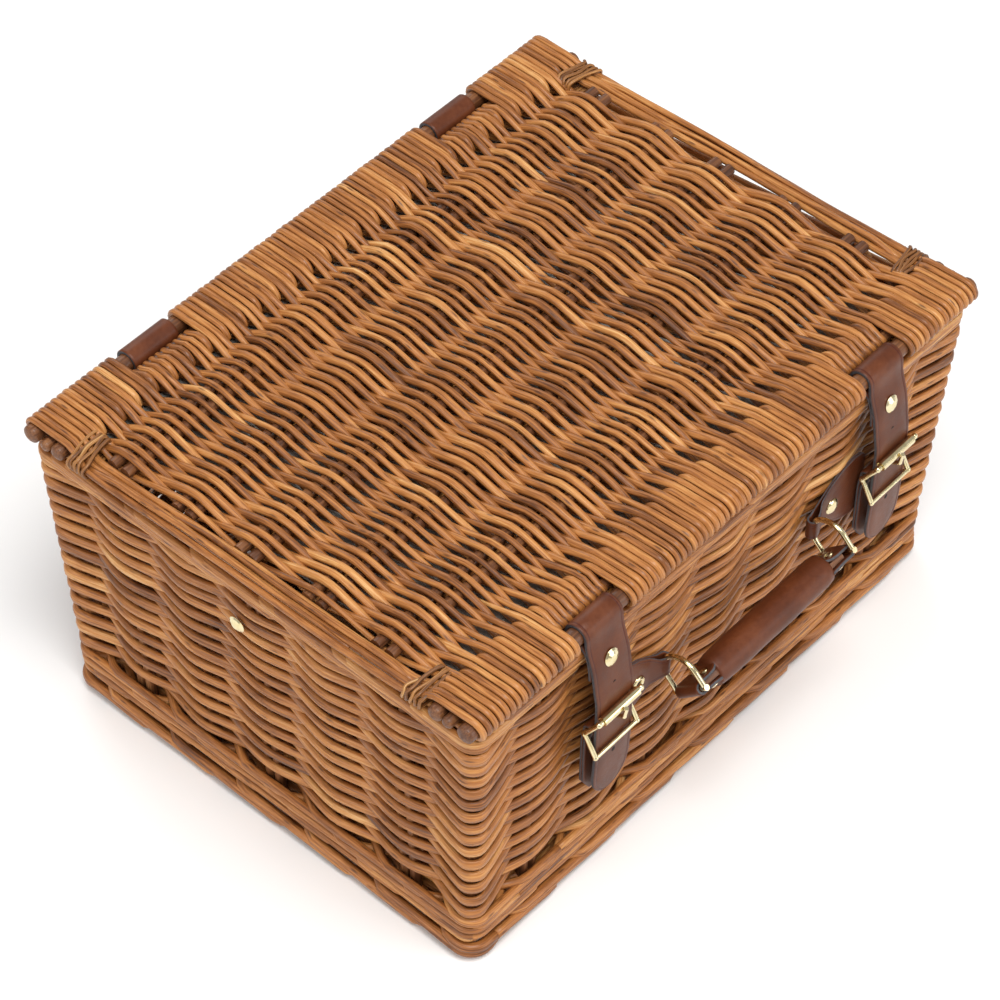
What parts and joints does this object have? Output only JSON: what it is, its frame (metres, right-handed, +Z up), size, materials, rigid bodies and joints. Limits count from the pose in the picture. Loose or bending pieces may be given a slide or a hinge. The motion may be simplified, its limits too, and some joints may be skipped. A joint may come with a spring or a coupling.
{
  "type": "wicker picnic basket",
  "caption": "Rectangular wicker picnic basket with a hinged lid, two buckled leather closing straps and a swinging leather handle.",
  "frame": {"origin": "on the ground under the middle of the base", "axes": "+X along the long side, to the right seen from the strap side; +Y from the strap side to the hinge side; +Z up"},
  "size_m": [0.4098, 0.338, 0.213],
  "materials": {
    "willow": "satin buff willow rods",
    "willow_pale": "satin buff willow rods, paler",
    "split_willow": "split willow skeins",
    "stakes": "brown willow sticks",
    "leather": "satin chestnut leather with dark edges",
    "brass": "polished pale brass",
    "lining": "plain pale lining cloth",
    "core": "plain core"
  },
  "bodies": {
    "basket": {"corner_posts": "stakes", "stakes_front": "stakes", "stakes_back": "stakes", "stakes_left": "stakes", "stakes_right": "stakes", "front_weave": "willow", "back_weave": "willow", "left_weave": "willow", "right_weave": "willow", "upsett_wale": "willow_pale", "foot_border": "willow", "top_border": "willow_pale", "base_sticks": "stakes", "base_weave": "willow", "hinge_strap_left": "leather", "hinge_strap_right": "leather", "hinge_rivets": "brass", "stay_studs": "brass", "buckle_chape_left": "leather", "buckle_chape_right": "leather", "chape_rivets": "brass", "handle_tab_left": "leather", "handle_tab_right": "leather", "tab_rivets": "brass"},
    "lid": {"lid_hinge_sticks": "stakes", "lid_front_sticks": "stakes", "lid_inner_sticks": "stakes", "lid_weave": "willow", "lid_end_rods_left": "willow", "lid_end_rods_right": "willow", "lid_lashings": "split_willow", "lid_lining": "lining"},
    "strap_left": {"closing_strap_left": "leather", "strap_rivet_left": "brass"},
    "strap_right": {"closing_strap_right": "leather", "strap_rivet_right": "brass"},
    "buckle_left": {"buckle_frame_left": "brass"},
    "buckle_right": {"buckle_frame_right": "brass"},
    "roller_left": {"buckle_roller_left": "brass"},
    "roller_right": {"buckle_roller_right": "brass"},
    "tongue_left": {"buckle_tongue_left": "brass"},
    "tongue_right": {"buckle_tongue_right": "brass"},
    "handle": {"handle_core": "core", "handle_grip": "leather", "handle_end_left": "leather", "handle_end_right": "leather", "handle_rivets": "brass", "d_ring_left": "brass", "d_ring_right": "brass"}
  },
  "joints": [
    {"name": "lid_hinge", "type": "hinge", "parent": "basket", "child": "lid", "pos_m": [0, 0.1477, 0.2047], "axis": [-1, 0, 0], "range_deg": [0, 105]},
    {"name": "strap_swing_left", "type": "hinge", "parent": "lid", "child": "strap_left", "pos_m": [-0.108, -0.1477, 0.2047], "axis": [-1, 0, 0], "range_deg": [0, 95], "deforming": ["closing_strap_left"]},
    {"name": "buckle_tilt_left", "type": "hinge", "parent": "basket", "child": "buckle_left", "pos_m": [-0.108, -0.15753, 0.1395], "axis": [1, 0, 0], "range_deg": [0, 15]},
    {"name": "roller_spin_left", "type": "hinge", "parent": "buckle_left", "child": "roller_left", "pos_m": [-0.108, -0.16624, 0.153], "axis": [1, 0, 0], "continuous": true},
    {"name": "tongue_lift_left", "type": "hinge", "parent": "buckle_left", "child": "tongue_left", "pos_m": [-0.108, -0.15753, 0.1395], "axis": [1, 0, 0], "range_deg": [0, 75]},
    {"name": "strap_swing_right", "type": "hinge", "parent": "lid", "child": "strap_right", "pos_m": [0.121, -0.1477, 0.2047], "axis": [-1, 0, 0], "range_deg": [0, 95], "deforming": ["closing_strap_right"]},
    {"name": "buckle_tilt_right", "type": "hinge", "parent": "basket", "child": "buckle_right", "pos_m": [0.121, -0.15753, 0.1395], "axis": [1, 0, 0], "range_deg": [0, 15]},
    {"name": "roller_spin_right", "type": "hinge", "parent": "buckle_right", "child": "roller_right", "pos_m": [0.121, -0.16624, 0.153], "axis": [1, 0, 0], "continuous": true},
    {"name": "tongue_lift_right", "type": "hinge", "parent": "buckle_right", "child": "tongue_right", "pos_m": [0.121, -0.15753, 0.1395], "axis": [1, 0, 0], "range_deg": [0, 75]},
    {"name": "handle_swing", "type": "hinge", "parent": "basket", "child": "handle", "pos_m": [0.0065, -0.1649, 0.128], "axis": [-1, 0, 0], "range_deg": [0, 90]}
  ]
}
